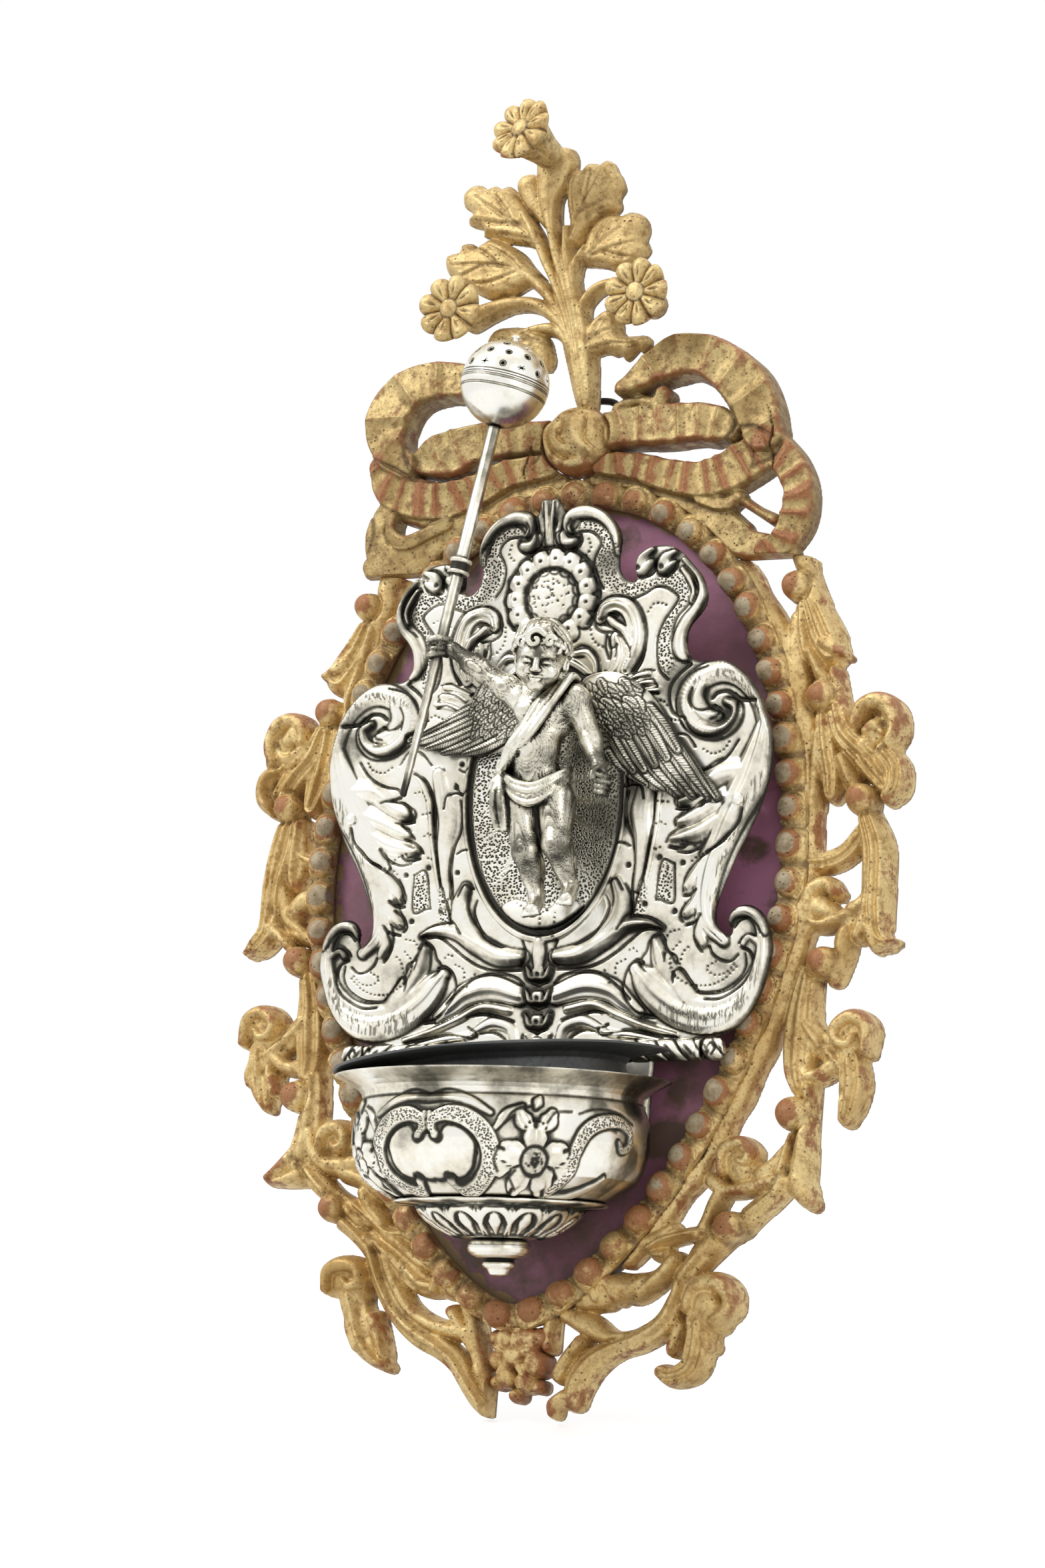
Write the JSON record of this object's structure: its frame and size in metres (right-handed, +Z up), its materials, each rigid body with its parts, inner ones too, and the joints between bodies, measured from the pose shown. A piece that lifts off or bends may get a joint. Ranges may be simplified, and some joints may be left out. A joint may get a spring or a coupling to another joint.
{
  "type": "holy water font",
  "caption": "Wall font: carved gilded wooden plaque with a chased silver plate, a cherub holding a sprinkler, and a basin with a lift-out liner.",
  "frame": {"origin": "middle of the oval board, on its flat back", "axes": "+Z up, front towards -Y, +Y into the wall, X across the board"},
  "size_m": [0.293, 0.1127, 0.5356],
  "materials": {
    "gilding": "water-gilded carved wood, worn to red bole",
    "paint": "plum paint, worn",
    "raw_wood": "bare",
    "silver": "polished silver with dark oxide in its hollows",
    "dark_silver": "cast silver, toned dark",
    "tarnished": "dull, tarnished",
    "iron": "hand-forged, dark",
    "sponge": "natural sponge"
  },
  "bodies": {
    "plaque": {"bead_border": "gilding", "garland_left": "gilding", "garland_right": "gilding", "pendant": "gilding", "bow_left": "gilding", "bow_right": "gilding", "bow_knot": "gilding", "bouquet": "gilding", "flower_left": "gilding", "flower_right": "gilding", "flower_top": "gilding", "back_panel": "paint", "bouquet_dowel": "raw_wood", "plate_block": "raw_wood", "back_plate": "silver", "gadroon_moulding": "silver", "basin_bowl": "silver", "basin_foot": "silver", "basin_finial": "silver", "plate_nail_left": "silver", "plate_nail_right": "silver", "wing_left": "silver", "wing_right": "silver", "sash_tail": "silver", "cherub_body": "dark_silver", "cherub_right_arm": "dark_silver", "cherub_left_arm": "dark_silver", "hanger_eye": "iron", "basin_screw_left": "iron", "basin_screw_right": "iron", "cherub_stud": "iron", "stud_nut": "iron"},
    "sprinkler": {"sprinkler_rod": "silver", "sprinkler_collar": "silver", "sprinkler_cup": "silver", "sprinkler_sponge": "sponge"},
    "cap": {"sprinkler_cap": "silver", "sprinkler_knob": "silver"},
    "liner": {"basin_liner": "tarnished"},
    "ring": {"hanging_ring": "iron"}
  },
  "joints": [
    {"name": "sprinkler_slide", "type": "slide", "parent": "plaque", "child": "sprinkler", "axis": [0.1627, 0.0118, 0.9866], "range_m": [0, 0.058]},
    {"name": "cap_lift", "type": "slide", "parent": "sprinkler", "child": "cap", "axis": [0.1627, 0.0118, 0.9866], "range_m": [0, 0.012]},
    {"name": "liner_lift", "type": "slide", "parent": "plaque", "child": "liner", "axis": [-0.0313, -0.0698, 0.9971], "range_m": [0, 0.05]},
    {"name": "ring_swing", "type": "hinge", "parent": "plaque", "child": "ring", "pos_m": [0, -0.0042, 0.18525], "axis": [1, 0, 0], "range_deg": [-100, 0]}
  ]
}
